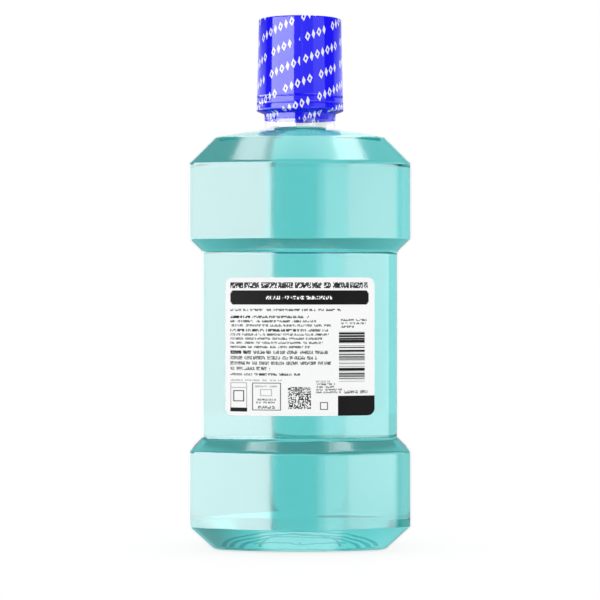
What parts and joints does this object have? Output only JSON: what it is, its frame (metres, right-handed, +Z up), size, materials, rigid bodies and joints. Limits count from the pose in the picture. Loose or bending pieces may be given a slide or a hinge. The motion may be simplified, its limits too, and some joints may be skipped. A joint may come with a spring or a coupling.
{
  "type": "mouthwash bottle",
  "caption": "Clear flat-sided bottle with wide bands and a narrower waist, full of teal mouthwash, under a film-wrapped screw cap that doubles as the dosing cup.",
  "frame": {"origin": "on the ground, under the middle of the bottle", "axes": "+Z up along the cap's axis, +X along the bottle's width, to the right as seen from the labelled back, which faces -Y"},
  "size_m": [0.1014, 0.0756, 0.244],
  "materials": {
    "clear_pet": "clear, glossy, blow moulded",
    "teal_liquid": "clear tinted liquid",
    "label_film": "satin white film, printed",
    "printed_film": "glossy blue shrink film, printed",
    "cap_plastic": "satin, injection moulded"
  },
  "bodies": {
    "bottle": {"bottle": "clear_pet", "mouthwash": "teal_liquid", "back_label": "label_film"},
    "neck_band": {"neck_band": "printed_film"},
    "cap": {"cap": "cap_plastic"},
    "cap_sleeve": {"cap_sleeve": "printed_film"}
  },
  "joints": [
    {"name": "cap_turn", "type": "hinge", "parent": "bottle", "child": "neck_band", "pos_m": [0, 0, 0.2021], "axis": [0, 0, 1], "range_deg": [0, 360]},
    {"name": "cap_lift", "type": "slide", "parent": "neck_band", "child": "cap", "axis": [0, 0, 1], "range_m": [0, 0.06]},
    {"name": "sleeve_off", "type": "slide", "parent": "cap", "child": "cap_sleeve", "axis": [0, 0, 1], "range_m": [0, 0.05]}
  ]
}
